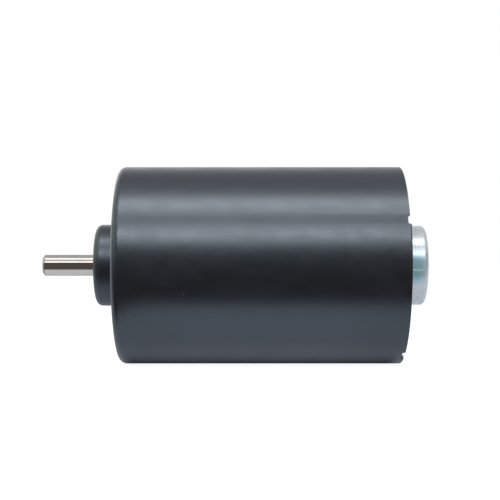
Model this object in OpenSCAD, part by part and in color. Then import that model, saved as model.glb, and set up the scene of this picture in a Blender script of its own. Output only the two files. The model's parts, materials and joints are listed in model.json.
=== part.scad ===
// Brushless motor in a drawn steel can, lying along X with its shaft towards -X.
// The origin is the centre of the front mounting face, on the motor's axis. Lengths are millimetres.
// Each sub-part is drawn with the motor's axis as its own Z axis, and axial() lays it along X.
// Angles round the axis start at +Y and turn towards +Z.

/* [Can] */
// Outside diameter of the can
can_d = 45; // [41:0.5:52]
// Length of the can, from the mounting face to the cut rim
can_len = 63.9; // [58:0.1:90]
// Thickness of the can's drawn sheet
can_wall = 1.3; // [1.1:0.05:1.5]
// Radius of the can's front corner
can_corner_r = 1.6; // [1.4:0.1:3]
// Height of the front bearing boss above the mounting face
front_boss_h = 5.4; // [5.3:0.05:7]
// Radius of the front boss's outer corner
front_boss_corner_r = 1.4; // [0.6:0.1:2]
// Diameter of the opening in the front boss that the shaft passes through
front_opening_d = 11; // [9.6:0.2:12]
// Depth of the ledge inside the rim that the rear cover sits on
cover_ledge = 0.3; // [0.2:0.05:0.4]
// Radius of the rim's broken outer edge
rim_edge_r = 0.25; // [0.1:0.05:0.4]
// Width of the two narrow notches in the rim
narrow_notch_w = 2.3; // [1.4:0.1:4]
// Width of the two wide notches in the rim
wide_notch_w = 4; // [2.4:0.1:6]
// Depth of the notches in the rim
notch_depth = 0.7; // [0.4:0.05:1]
// Radius in the bottom corners of the notches
notch_corner_r = 0.4; // [0.1:0.05:0.6]
// How far the rim is set back along one of its four quarters
rim_step = 0.25; // [0.05:0.05:0.4]

/* [Mounting holes] */
// Diameter of the circle that the tapped holes lie on
mount_pcd = 29; // [27:0.5:34]
// Diameter of each hole before its thread
mount_hole_d = 3.3; // [2.5:0.1:4.2]
// Number of holes
mount_hole_count = 4; // [2:1:6]
// Depth of the drawn collar round each hole, from the mounting face
mount_collar_h = 3; // [2:0.1:4]
// Wall of the drawn collar
mount_collar_wall = 1; // [0.6:0.1:1.4]

/* [Rear cover] */
// Thickness of the cover's sheet
cover_wall = 1.1; // [0.9:0.05:1.3]
// Distance from the rim in to the cover's outer face
cover_recess = 1.2; // [1:0.1:2]
// Height of the rear bearing boss beyond the rim
rear_boss_h = 5.55; // [5:0.05:7]
// Radius of the rear boss's outer corner
rear_boss_corner_r = 0.9; // [0.6:0.1:1.8]
// Radius where the rear boss meets the cover's flat
rear_boss_root_r = 1; // [0.5:0.1:1.6]
// Diameter of the opening in the end of the rear boss
rear_opening_d = 7.6; // [6:0.2:10]
// Width of each place where the rim is staked over the cover
stake_w = 3; // [1.5:0.25:5]

/* [Lead outlet] */
// Bore of the grommet that the leads pass through
outlet_bore_d = 4.2; // [3:0.2:4.6]
// Wall of the grommet inside the cover's hole
grommet_wall = 0.9; // [0.7:0.1:1.2]
// Width of the grommet's flanges beyond the hole
grommet_flange_w = 0.7; // [0.5:0.1:1]
// Thickness of each flange
grommet_flange_t = 0.9; // [0.6:0.05:0.95]

/* [Bearings] */
// Outside diameter of a bearing
bearing_od = 16; // [15:0.25:17]
// Width of a bearing
bearing_w = 5; // [4.6:0.1:5.3]
// Diameter of a ball
ball_d = 2.381; // [2:0.05:2.6]
// Number of balls in a bearing
ball_count = 8; // [6:1:9]
// Thickness of a bearing's shields
shield_t = 0.3; // [0.2:0.05:0.4]
// Free height of the spring washer behind the rear bearing
spring_washer_h = 0.45; // [0.35:0.05:0.6]
// Thickness of the spring washer's sheet
spring_washer_t = 0.25; // [0.15:0.05:0.3]

/* [Shaft] */
// Diameter of the shaft at its end and in the bearings
shaft_d = 5; // [4:0.1:5.2]
// Length of shaft that stands out of the front boss
shaft_reach = 12.3; // [8:0.05:30]
// Chamfer on the shaft's ends
shaft_chamfer = 0.45; // [0.2:0.05:0.8]
// Thickness of the retaining clip
clip_t = 0.6; // [0.4:0.05:0.8]
// Outside diameter of the retaining clip
clip_d = 8.4; // [7:0.2:9]
// Depth of the clip's groove in the shaft
clip_groove_depth = 0.5; // [0.3:0.05:0.7]

/* [Rotor] */
// Number of magnet poles
pole_count = 6; // [4:2:8]
// Thickness of the magnets
magnet_t = 2.5; // [1.8:0.1:3]
// Thickness of the sleeve round the magnets
sleeve_t = 0.3; // [0.2:0.05:0.5]
// Gap between the rotor and the stator
air_gap = 0.5; // [0.4:0.05:0.7]
// Length of the rotor beyond the stator at each end
rotor_overlap = 0.5; // [0:0.1:1]
// Thickness of the balance rings
balance_ring_t = 2.5; // [1.6:0.1:2.8]
// Width of the magnet that the sensors read
sensor_magnet_w = 3; // [2:0.1:3.4]

/* [Stator] */
// Number of stator teeth
slot_count = 9; // [9, 12]
// Distance from the mounting face to the lamination stack
stack_start = 14; // [12:0.5:16]
// Distance from the stack to the rim, with room for the coil ends and the sensor board
rear_room = 14.9; // [13:0.1:20]
// Width of a tooth
tooth_w = 3.6; // [2.6:0.1:4]
// Thickness of the ring behind the teeth
yoke_t = 2.6; // [2:0.1:3]
// Depth of the slots, as a share of the can's inner radius
slot_depth_share = 0.264; // [0.22:0.002:0.28]
// Height of a tooth's tip
tooth_tip_h = 1.5; // [1:0.1:1.8]
// Opening between two tooth tips
slot_opening = 2; // [1.4:0.1:2.4]
// Thickness of the insulation in the slots
liner_t = 0.5; // [0.3:0.05:0.7]
// Thickness of the insulators' end plates
insulator_end_t = 1; // [0.8:0.1:1.4]

/* [Sensor board] */
// Thickness of the sensor board
board_t = 1.2; // [0.8:0.1:1.6]
// Thickness of a sensor
sensor_t = 1.5; // [1.2:0.1:1.6]
// Width of a sensor
sensor_w = 4; // [3:0.1:4.4]
// Height of a sensor, from its leads to its top
sensor_h = 3; // [2.5:0.1:3.2]
// Diameter of the screws that hold the board
board_screw_d = 1.6; // [1.2:0.1:1.8]
// Length of the screws below their heads
board_screw_len = 4; // [3.4:0.1:4.6]
// Diameter of the winding terminals
terminal_d = 1; // [0.8:0.05:1.1]

/* [Hidden] */
$fn = 96;

// How far a cut runs past the face it leaves
overrun = 0.4;
// Radial gap of a seat that is pressed or glued on the real motor
seat_gap = 0.01;
// Gap round the parts that are assembled loosely
loose_gap = 0.1;
// Radial gap between a ball and its races
race_gap = 0.03;
// Gap between a ball and its pocket in the cage
pocket_gap = 0.06;
// Gap between the spinning and the standing parts of a bearing
cage_gap = 0.3;
// Gap between neighbouring coils
coil_gap = 0.6;
// Gap between the coil ends and the sensors
sensor_gap = 0.4;

// Metal of the cage beside a ball's pocket
cage_rail = 0.25;

can_r = can_d / 2;
can_bore_r = can_r - can_wall;
rim_bore_r = can_bore_r + cover_ledge;
bearing_r = bearing_od / 2;
shaft_r = shaft_d / 2;
front_boss_r = bearing_r + can_wall;
rear_boss_r = bearing_r + cover_wall;

// Places along the axis, from the mounting face
front_bearing_z = can_wall - front_boss_h;
cover_face_z = can_len - cover_recess;
cover_seat_z = cover_face_z - cover_wall;
rear_boss_end_z = can_len + rear_boss_h;
rear_cup_end_z = rear_boss_end_z - cover_wall;
rear_bearing_z = rear_cup_end_z - spring_washer_h - bearing_w;
stack_end = can_len - rear_room;
stack_len = stack_end - stack_start;

// The rim's notches: two narrow and two wide, a quarter turn apart
notch_angle = 154;
notch_step = 90;
// The stakes lie halfway between the notches
stake_angle = notch_angle + notch_step / 2;
stake_h = 0.7;
stake_reach = 0.6;

// Round lead-ins of the drawn bearing seats
front_lead_in_r = 0.6;
rear_lead_in_r = 1.1;
can_inner_corner_r = max(can_corner_r - can_wall, seat_gap);

// Bearing sections
pitch_r = (bearing_r + shaft_r) / 2;
ball_r = ball_d / 2;
land_share = 0.46;
outer_land_r = pitch_r + ball_d * land_share;
inner_land_r = pitch_r - ball_d * land_share;
race_share = 0.52;
race_r = ball_d * race_share;
outer_race_centre_r = pitch_r + ball_r + race_gap - race_r;
inner_race_centre_r = pitch_r - ball_r - race_gap + race_r;
shield_seat_share = 0.35;
shield_seat_r = outer_land_r + (bearing_r - outer_land_r) * shield_seat_share;
shield_recess = 0.15;
ring_chamfer = 0.3;
cage_w = ball_d + 2 * (pocket_gap + cage_rail);

// Shaft
clip_groove_r = shaft_r - clip_groove_depth;
clip_z = front_bearing_z - clip_t;
shaft_front_z = -front_boss_h - shaft_reach;
shaft_end_recess = 0.5;
shaft_rear_z = rear_boss_end_z - shaft_end_recess;
centre_hole_r = 0.8;
centre_hole_depth = 1.4;
spacer_wall = 1.2;
spacer_r = shaft_r + spacer_wall;

// Stator, measured inwards from the can
stator_r = can_bore_r - seat_gap;
slot_r = can_bore_r - yoke_t;
tooth_tip_r = slot_r - can_bore_r * slot_depth_share;
stator_bore_r = tooth_tip_r - tooth_tip_h;
slot_pitch = 360 / slot_count;
phase_count = 3;

// Rotor
rotor_r = stator_bore_r - air_gap;
magnet_out_r = rotor_r - sleeve_t;
sleeve_in_r = magnet_out_r + seat_gap;
core_r = magnet_out_r - magnet_t;
shaft_mid_share = 0.263;
shaft_mid_r = shaft_r + (core_r - shaft_r) * shaft_mid_share;
magnet_in_r = core_r + seat_gap;
rotor_start = stack_start - rotor_overlap;
rotor_end = stack_end + rotor_overlap;
pole_pitch = 360 / pole_count;
magnet_angle_share = 0.93;
magnet_angle = pole_pitch * magnet_angle_share;
core_rib_w = 0.4;
core_rib_h = 1;
front_ring_z = rotor_start - balance_ring_t;
sensor_magnet_z = rotor_end + balance_ring_t;
shaft_mid_margin = 2;
shaft_mid_start = front_ring_z - shaft_mid_margin;
shaft_mid_end = sensor_magnet_z + sensor_magnet_w + shaft_mid_margin;
balance_ring_r = magnet_out_r - loose_gap;
balance_hole_r = 0.9;
balance_hole_depth = 1.1;
balance_hole_angles = [25, 50, 205];
sensor_magnet_r = core_r + core_rib_h;

// Insulators
bobbin_half_w = tooth_w / 2 + liner_t;
leg_gap = 0.1;
leg_len = stack_len / 2 - leg_gap;
insulator_lip = 0.3;
insulator_wall_t = 1;
insulator_wall_mid_r = slot_r + insulator_wall_t / 2;
insulator_edge = 0.5;
insulator_r = can_bore_r - insulator_edge;

// Coils: as wide as the slots let them be
coil_in_r = tooth_tip_r + liner_t + loose_gap;
coil_half_w = coil_in_r * tan(slot_pitch / 2) - coil_gap / 2 / cos(slot_pitch / 2);
coil_t = coil_half_w - bobbin_half_w - loose_gap;
coil_reach_r = slot_r - liner_t - loose_gap;
coil_out_r = sqrt(pow(coil_reach_r, 2) - pow(coil_half_w, 2));
coil_hole_len = stack_len + 2 * insulator_end_t + 2 * loose_gap;
coil_end_h = insulator_end_t + loose_gap + coil_t;
coil_corner_share = 0.9;
flange_h = coil_end_h - loose_gap;

// Sensor board and what stands on it
board_z = stack_end + coil_end_h + sensor_gap + sensor_t;
board_in_r = sensor_magnet_r + 2 * cage_gap;
board_r = can_bore_r - insulator_edge;
sensor_r = board_in_r + cage_gap;
sensor_angle = 180;
sensor_step = 360 / pole_count * 2 / phase_count;
post_angle = slot_pitch / 2;
post_count = 3;
post_step = 360 / post_count;
screw_r = board_screw_d / 2;
post_wall = 0.55;
post_r = screw_r + post_wall;
screw_head_share = 0.9;
screw_head_r = board_screw_d * screw_head_share;
screw_head_h = screw_r;
screw_clearance = 0.15;
terminal_r = terminal_d / 2;
terminal_seat_depth = 2;
terminal_reach = 1.8;
terminal_boss_wall = 0.7;
terminal_boss_r = terminal_r + terminal_boss_wall;

// Grommet
outlet_bore_r = outlet_bore_d / 2;
grommet_r = outlet_bore_r + grommet_wall;
grommet_flange_r = grommet_r + grommet_flange_w;
outlet_offset = (rear_boss_r + rear_boss_root_r + rim_bore_r) / 2;

// Lays a sub-part that is drawn about Z along the X axis
module axial() {
    rotate([90, 0, 90])
        children();
}

// Draws children out from the axis: width across, height along the axis, then outwards
module outwards(r, z) {
    translate([r, 0, z])
        rotate([90, 0, 90])
            children();
}

// The waste of a rounded corner at the origin, with the solid towards -X and +Y
module corner_waste(r) {
    difference() {
        translate([-r, -overrun])
            square([r + overrun, r + overrun]);
        translate([-r, r])
            circle(r = r);
    }
}

module ring(outer_r, inner_r) {
    difference() {
        circle(r = outer_r);
        circle(r = inner_r);
    }
}

module tube(outer_r, inner_r, height) {
    linear_extrude(height)
        ring(outer_r, inner_r);
}

// Can

// A drawn cup for a bearing in section, closed at the low end and rounded there
module boss_section(r, height, corner_r) {
    difference() {
        square([r, height]);
        translate([r, 0])
            corner_waste(corner_r);
    }
}

// The inside of a drawn bearing seat, with a round lead-in at its mouth
module seat_section(depth, lead_in_r) {
    square([bearing_r + seat_gap, depth]);
    translate([bearing_r + seat_gap, depth])
        rotate(180)
            corner_waste(lead_in_r);
}

module can_section() {
    difference() {
        union() {
            difference() {
                square([can_r, can_len]);
                translate([can_r, 0])
                    corner_waste(can_corner_r);
                translate([can_r, can_len])
                    mirror([0, 1])
                        corner_waste(rim_edge_r);
            }
            translate([0, -front_boss_h])
                boss_section(front_boss_r, front_boss_h + can_wall, front_boss_corner_r);
        }
        translate([0, can_wall])
            difference() {
                square([can_bore_r, can_len]);
                translate([can_bore_r, 0])
                    corner_waste(can_inner_corner_r);
            }
        translate([0, cover_seat_z])
            square([rim_bore_r, can_len]);
        translate([0, front_bearing_z])
            seat_section(front_boss_h, front_lead_in_r);
        translate([0, -front_boss_h - overrun])
            square([front_opening_d / 2, can_wall + 2 * overrun]);
    }
}

module notch_outline(width) {
    difference() {
        translate([-width / 2, 0])
            square([width, notch_depth + overrun]);
        translate([width / 2, 0])
            corner_waste(notch_corner_r);
        mirror([1, 0])
            translate([width / 2, 0])
                corner_waste(notch_corner_r);
    }
}

module rim_notches() {
    for (i = [0 : 3])
        rotate(notch_angle + i * notch_step)
            outwards(rim_bore_r - overrun, can_len - notch_depth)
                linear_extrude(can_r - rim_bore_r + 2 * overrun)
                    notch_outline(i % 2 == 0 ? narrow_notch_w : wide_notch_w);
}

// The quarter of the rim between the first narrow notch and the wide one before it is cut lower
module rim_set_back() {
    rotate(notch_angle - notch_step)
        rotate_extrude(angle = notch_step)
            translate([rim_bore_r - overrun, can_len - rim_step])
                square([can_r - rim_bore_r + 2 * overrun, rim_step + overrun]);
}

// Rim metal that is pushed in over the cover's edge
module rim_stakes() {
    span = stake_w / can_r * 180 / PI;
    for (i = [0 : 3])
        rotate(stake_angle + i * notch_step - span / 2)
            rotate_extrude(angle = span)
                polygon([
                    [rim_bore_r - stake_reach, cover_face_z],
                    [rim_bore_r + cover_ledge, cover_face_z],
                    [rim_bore_r + cover_ledge, cover_face_z + stake_h],
                    [rim_bore_r, cover_face_z + stake_h]
                ]);
}

module mount_hole_places() {
    for (i = [0 : mount_hole_count - 1])
        rotate((i + 1 / 2) * 360 / mount_hole_count)
            translate([mount_pcd / 2, 0, 0])
                children();
}

module housing_can() {
    color("#24272d")
        axial()
            difference() {
                union() {
                    difference() {
                        rotate_extrude()
                            can_section();
                        rim_notches();
                        rim_set_back();
                    }
                    rim_stakes();
                    mount_hole_places()
                        translate([0, 0, can_wall / 2])
                            cylinder(r = mount_hole_d / 2 + mount_collar_wall, h = mount_collar_h - can_wall / 2);
                }
                mount_hole_places()
                    translate([0, 0, -overrun])
                        cylinder(r = mount_hole_d / 2, h = mount_collar_h + 2 * overrun);
            }
}

// Rear cover and grommet

module cover_section() {
    difference() {
        union() {
            translate([0, cover_seat_z])
                square([rim_bore_r - seat_gap, cover_wall]);
            translate([0, rear_boss_end_z])
                mirror([0, 1])
                    boss_section(rear_boss_r, rear_boss_end_z - cover_seat_z, rear_boss_corner_r);
            translate([rear_boss_r, cover_face_z])
                difference() {
                    square([rear_boss_root_r, rear_boss_root_r]);
                    translate([rear_boss_root_r, rear_boss_root_r])
                        circle(r = rear_boss_root_r);
                }
        }
        translate([0, rear_cup_end_z])
            mirror([0, 1])
                seat_section(rear_cup_end_z - cover_seat_z, rear_lead_in_r);
        translate([0, cover_seat_z - overrun])
            square([bearing_r + seat_gap, 2 * overrun]);
        translate([0, rear_cup_end_z - overrun])
            square([rear_opening_d / 2, cover_wall + 2 * overrun]);
    }
}

module rear_cover() {
    color("#c3ccd0")
        axial()
            difference() {
                rotate_extrude()
                    cover_section();
                translate([outlet_offset, 0, cover_seat_z - overrun])
                    cylinder(r = grommet_r + seat_gap, h = cover_wall + 2 * overrun);
            }
}

module lead_grommet() {
    color("#1d1d1f")
        axial()
            translate([outlet_offset, 0, cover_seat_z])
                difference() {
                    union() {
                        cylinder(r = grommet_r, h = cover_wall);
                        translate([0, 0, cover_wall])
                            cylinder(r = grommet_flange_r, h = grommet_flange_t);
                        translate([0, 0, -grommet_flange_t])
                            cylinder(r = grommet_flange_r, h = grommet_flange_t);
                    }
                    translate([0, 0, -grommet_flange_t - overrun])
                        cylinder(r = outlet_bore_r, h = cover_wall + 2 * grommet_flange_t + 2 * overrun);
                }
}

// Bearings, drawn from z = 0 to the bearing's width

module ring_chamfer_waste(r) {
    polygon([
        [r - ring_chamfer, -overrun],
        [r + overrun, -overrun],
        [r + overrun, ring_chamfer],
        [r, ring_chamfer],
        [r - ring_chamfer, 0]
    ]);
}

module bearing_outer_ring() {
    rotate_extrude()
        difference() {
            translate([outer_land_r, 0])
                square([bearing_r - outer_land_r, bearing_w]);
            for (side = [0, bearing_w - shield_recess - shield_t])
                translate([0, side])
                    square([shield_seat_r, shield_recess + shield_t]);
            translate([outer_race_centre_r, bearing_w / 2])
                circle(r = race_r);
            ring_chamfer_waste(bearing_r);
            translate([0, bearing_w])
                mirror([0, 1])
                    ring_chamfer_waste(bearing_r);
        }
}

module bearing_inner_ring() {
    rotate_extrude()
        difference() {
            translate([shaft_r + seat_gap, 0])
                square([inner_land_r - shaft_r - seat_gap, bearing_w]);
            translate([inner_race_centre_r, bearing_w / 2])
                circle(r = race_r);
        }
}

module bearing_shields() {
    for (z = [shield_recess, bearing_w - shield_recess - shield_t])
        translate([0, 0, z])
            tube(shield_seat_r - seat_gap, inner_land_r + cage_gap, shield_t);
}

module ball_places() {
    for (i = [0 : ball_count - 1])
        rotate(i * 360 / ball_count)
            translate([pitch_r, 0, bearing_w / 2])
                children();
}

module bearing_cage() {
    difference() {
        translate([0, 0, (bearing_w - cage_w) / 2])
            tube(outer_land_r - cage_gap, inner_land_r + cage_gap, cage_w);
        ball_places()
            rotate([0, 90, 0])
                cylinder(r = ball_r + pocket_gap, h = ball_d, center = true);
    }
}

module bearing_balls() {
    ball_places()
        sphere(r = ball_r);
}

module at_front_bearing() {
    axial()
        translate([0, 0, front_bearing_z])
            children();
}

module at_rear_bearing() {
    axial()
        translate([0, 0, rear_bearing_z])
            children();
}

module front_bearing_outer_ring() {
    color("#b9bec3")
        at_front_bearing()
            bearing_outer_ring();
}

module front_bearing_inner_ring() {
    color("#c2c7cb")
        at_front_bearing()
            bearing_inner_ring();
}

module front_bearing_shields() {
    color("#a9adb0")
        at_front_bearing()
            bearing_shields();
}

module front_bearing_cage() {
    color("#c9a45a")
        at_front_bearing()
            bearing_cage();
}

module front_bearing_balls() {
    color("#dfe3e6")
        at_front_bearing()
            bearing_balls();
}

module rear_bearing_outer_ring() {
    color("#b9bec3")
        at_rear_bearing()
            bearing_outer_ring();
}

module rear_bearing_inner_ring() {
    color("#c2c7cb")
        at_rear_bearing()
            bearing_inner_ring();
}

module rear_bearing_shields() {
    color("#a9adb0")
        at_rear_bearing()
            bearing_shields();
}

module rear_bearing_cage() {
    color("#c9a45a")
        at_rear_bearing()
            bearing_cage();
}

module rear_bearing_balls() {
    color("#dfe3e6")
        at_rear_bearing()
            bearing_balls();
}

// A dished spring washer that pushes the rear bearing's outer ring forwards
module spring_washer() {
    color("#8f969c")
        axial()
            translate([0, 0, rear_cup_end_z - spring_washer_h])
                rotate_extrude()
                    polygon([
                        [bearing_r - ring_chamfer, 0],
                        [bearing_r - ring_chamfer, spring_washer_t],
                        [outer_land_r + ring_chamfer, spring_washer_h],
                        [outer_land_r + ring_chamfer, spring_washer_h - spring_washer_t]
                    ]);
}

// Stator

module teeth(half_w) {
    for (i = [0 : slot_count - 1])
        rotate(i * slot_pitch)
            translate([0, -half_w])
                square([slot_r + overrun, 2 * half_w]);
}

// The space between the teeth, taken in all round by inset
module slot_space(inset) {
    difference() {
        ring(slot_r - inset, tooth_tip_r + inset);
        teeth(tooth_w / 2 + inset);
    }
}

module slot_mouths() {
    for (i = [0 : slot_count - 1])
        rotate((i + 1 / 2) * slot_pitch)
            translate([stator_bore_r - overrun, -slot_opening / 2])
                square([tooth_tip_h + 2 * overrun + liner_t, slot_opening]);
}

module stator_core() {
    color("#8b9097")
        axial()
            translate([0, 0, stack_start])
                linear_extrude(stack_len)
                    difference() {
                        ring(stator_r, stator_bore_r);
                        slot_space(0);
                        slot_mouths();
                    }
}

// One end insulator, drawn with the stack's end face at z = 0 and the stack below it
module insulator() {
    translate([0, 0, -leg_len])
        linear_extrude(leg_len)
            difference() {
                slot_space(seat_gap);
                slot_space(liner_t);
                slot_mouths();
            }
    linear_extrude(insulator_end_t)
        difference() {
            ring(insulator_r, stator_bore_r + insulator_lip);
            slot_space(liner_t);
            slot_mouths();
        }
    linear_extrude(flange_h)
        difference() {
            ring(tooth_tip_r, stator_bore_r + insulator_lip);
            slot_mouths();
        }
    linear_extrude(flange_h)
        ring(slot_r + insulator_wall_t, slot_r);
}

module front_insulator() {
    color("#e9e4d6")
        axial()
            translate([0, 0, stack_start])
                mirror([0, 0, 1])
                    insulator();
}

module post_places() {
    for (i = [0 : post_count - 1])
        rotate(post_angle + i * post_step)
            translate([insulator_wall_mid_r, 0, 0])
                children();
}

// One terminal for each phase, on neighbouring teeth beside the lead outlet
module terminal_places() {
    for (i = [-1 : 1])
        rotate(i * slot_pitch)
            translate([insulator_wall_mid_r, 0, 0])
                children();
}

module rear_insulator() {
    color("#e9e4d6")
        axial()
            difference() {
                union() {
                    translate([0, 0, stack_end])
                        insulator();
                    translate([0, 0, stack_end])
                        post_places()
                            cylinder(r = post_r, h = board_z - stack_end);
                    translate([0, 0, stack_end])
                        terminal_places()
                            cylinder(r = terminal_boss_r, h = flange_h);
                }
                translate([0, 0, board_z + board_t - board_screw_len])
                    post_places()
                        cylinder(r = screw_r + seat_gap, h = board_screw_len);
                translate([0, 0, stack_end + flange_h - terminal_seat_depth])
                    terminal_places()
                        cylinder(r = terminal_r + seat_gap, h = terminal_seat_depth + overrun);
            }
}

module coil(tooth) {
    hole_w = bobbin_half_w + loose_gap;
    rotate(tooth * slot_pitch)
        outwards(coil_in_r, stack_start + stack_len / 2)
            linear_extrude(coil_out_r - coil_in_r)
                difference() {
                    rounded_rectangle(coil_half_w, coil_hole_len / 2 + coil_t, coil_t * coil_corner_share);
                    square([2 * hole_w, coil_hole_len], center = true);
                }
}

module rounded_rectangle(half_w, half_h, r) {
    difference() {
        square([2 * half_w, 2 * half_h], center = true);
        for (turn = [0, 180])
            rotate(turn) {
                translate([half_w, -half_h])
                    corner_waste(r);
                mirror([1, 0])
                    translate([half_w, -half_h])
                        corner_waste(r);
            }
    }
}

module phase_winding(phase) {
    color("#b4622e")
        axial()
            for (tooth = [phase : phase_count : slot_count - 1])
                coil(tooth);
}

module winding_u() {
    phase_winding(0);
}

module winding_v() {
    phase_winding(1);
}

module winding_w() {
    phase_winding(2);
}

// Sensor board

module hall_board() {
    color("#2e6b3f")
        axial()
            translate([0, 0, board_z])
                difference() {
                    tube(board_r, board_in_r, board_t);
                    post_places()
                        translate([0, 0, -overrun])
                            cylinder(r = screw_r + screw_clearance, h = board_t + 2 * overrun);
                    terminal_places()
                        translate([0, 0, -overrun])
                            cylinder(r = terminal_r + loose_gap, h = board_t + 2 * overrun);
                }
}

module hall_sensors() {
    color("#2b2b2d")
        axial()
            for (i = [-1 : 1])
                rotate(sensor_angle + i * sensor_step)
                    translate([sensor_r, -sensor_w / 2, board_z - sensor_t])
                        cube([sensor_h, sensor_w, sensor_t]);
}

module board_screws() {
    color("#9aa0a5")
        axial()
            translate([0, 0, board_z + board_t])
                post_places() {
                    cylinder(r = screw_head_r, h = screw_head_h);
                    translate([0, 0, -board_screw_len])
                        cylinder(r = screw_r, h = board_screw_len);
                }
}

module phase_terminals() {
    color("#c9b060")
        axial()
            translate([0, 0, stack_end + flange_h - terminal_seat_depth])
                terminal_places()
                    cylinder(
                        r = terminal_r,
                        h = board_z + board_t + terminal_reach - stack_end - flange_h + terminal_seat_depth
                    );
}

// Rotor

module shaft() {
    color("#c6c9cc")
        axial()
            difference() {
                rotate_extrude()
                    polygon([
                        [0, shaft_front_z],
                        [shaft_r - shaft_chamfer, shaft_front_z],
                        [shaft_r, shaft_front_z + shaft_chamfer],
                        [shaft_r, clip_z],
                        [clip_groove_r, clip_z],
                        [clip_groove_r, front_bearing_z],
                        [shaft_r, front_bearing_z],
                        [shaft_r, shaft_mid_start],
                        [shaft_mid_r, shaft_mid_start],
                        [shaft_mid_r, shaft_mid_end],
                        [shaft_r, shaft_mid_end],
                        [shaft_r, shaft_rear_z - shaft_chamfer],
                        [shaft_r - shaft_chamfer, shaft_rear_z],
                        [0, shaft_rear_z]
                    ]);
                translate([0, 0, shaft_front_z])
                    centre_hole();
                translate([0, 0, shaft_rear_z])
                    mirror([0, 0, 1])
                        centre_hole();
            }
}

// A conical centre hole, going up from a face at z = 0
module centre_hole() {
    cylinder(r1 = centre_hole_r, r2 = 0, h = centre_hole_depth);
}

// An E-shaped clip that snaps into the shaft's groove from the side
module retaining_clip() {
    clip_r = clip_d / 2;
    bite_r = clip_groove_r + seat_gap;
    mouth_share = 1.5;
    relief_r = (clip_r - shaft_r) / 2;
    color("#6f757b")
        axial()
            translate([0, 0, clip_z])
                linear_extrude(clip_t)
                    difference() {
                        circle(r = clip_r);
                        circle(r = bite_r);
                        translate([0, -bite_r * mouth_share / 2])
                            square([clip_r + overrun, bite_r * mouth_share]);
                        for (side = [-1, 1])
                            rotate(side * 120)
                                translate([shaft_r, 0])
                                    circle(r = relief_r);
                    }
}

module front_spacer() {
    color("#a7acb0")
        axial()
            translate([0, 0, front_bearing_z + bearing_w])
                tube(spacer_r, shaft_r + seat_gap, shaft_mid_start - front_bearing_z - bearing_w);
}

module rear_spacer() {
    color("#a7acb0")
        axial()
            translate([0, 0, shaft_mid_end])
                tube(spacer_r, shaft_r + seat_gap, rear_bearing_z - shaft_mid_end);
}

module rotor_core() {
    color("#7d8288")
        axial()
            translate([0, 0, rotor_start])
                linear_extrude(rotor_end - rotor_start)
                    difference() {
                        union() {
                            circle(r = core_r);
                            for (i = [0 : pole_count - 1])
                                rotate((i + 1 / 2) * pole_pitch)
                                    translate([0, -core_rib_w / 2])
                                        square([core_r + core_rib_h, core_rib_w]);
                        }
                        circle(r = shaft_mid_r + seat_gap);
                    }
}

module rotor_magnets() {
    color("#54585e")
        axial()
            for (i = [0 : pole_count - 1])
                rotate(i * pole_pitch - magnet_angle / 2)
                    rotate_extrude(angle = magnet_angle)
                        translate([magnet_in_r, rotor_start])
                            square([magnet_out_r - magnet_in_r, rotor_end - rotor_start]);
}

module magnet_sleeve() {
    color("#d0d3d6")
        axial()
            translate([0, 0, rotor_start])
                tube(rotor_r, sleeve_in_r, rotor_end - rotor_start);
}

// A brass ring with the blind holes that balance the rotor in its outer face, at z = 0
module balance_ring(holes) {
    difference() {
        tube(balance_ring_r, shaft_mid_r + seat_gap, balance_ring_t);
        for (angle = holes)
            rotate(angle)
                translate([(balance_ring_r + shaft_mid_r) / 2, 0, -overrun])
                    cylinder(r = balance_hole_r, h = balance_hole_depth + overrun);
    }
}

module front_balance_ring() {
    color("#b8923f")
        axial()
            translate([0, 0, front_ring_z])
                balance_ring(balance_hole_angles);
}

module rear_balance_ring() {
    color("#b8923f")
        axial()
            translate([0, 0, rotor_end + balance_ring_t])
                mirror([0, 0, 1])
                    balance_ring([]);
}

module sensor_magnet() {
    color("#3f4247")
        axial()
            translate([0, 0, sensor_magnet_z])
                tube(sensor_magnet_r, shaft_mid_r + seat_gap, sensor_magnet_w);
}

housing_can();
rear_cover();
lead_grommet();
front_bearing_outer_ring();
front_bearing_inner_ring();
front_bearing_shields();
front_bearing_cage();
front_bearing_balls();
rear_bearing_outer_ring();
rear_bearing_inner_ring();
rear_bearing_shields();
rear_bearing_cage();
rear_bearing_balls();
spring_washer();
stator_core();
front_insulator();
rear_insulator();
winding_u();
winding_v();
winding_w();
hall_board();
hall_sensors();
board_screws();
phase_terminals();
shaft();
retaining_clip();
front_spacer();
rear_spacer();
rotor_core();
rotor_magnets();
magnet_sleeve();
front_balance_ring();
rear_balance_ring();
sensor_magnet();
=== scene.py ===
import json
import math

import bmesh
import bpy
from mathutils import Matrix, Vector


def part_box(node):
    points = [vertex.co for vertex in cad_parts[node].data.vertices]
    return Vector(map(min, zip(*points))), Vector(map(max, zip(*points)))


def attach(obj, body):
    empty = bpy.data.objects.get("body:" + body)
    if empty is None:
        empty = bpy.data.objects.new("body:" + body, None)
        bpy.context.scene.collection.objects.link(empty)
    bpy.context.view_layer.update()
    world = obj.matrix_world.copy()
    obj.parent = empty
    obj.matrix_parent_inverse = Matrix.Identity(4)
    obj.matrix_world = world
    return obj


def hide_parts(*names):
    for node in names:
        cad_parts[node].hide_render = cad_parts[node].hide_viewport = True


# A brushless DC motor that lies on a white studio floor, along X, with its shaft towards -X.
# Lengths are metres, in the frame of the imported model.

MM = 0.001

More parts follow.
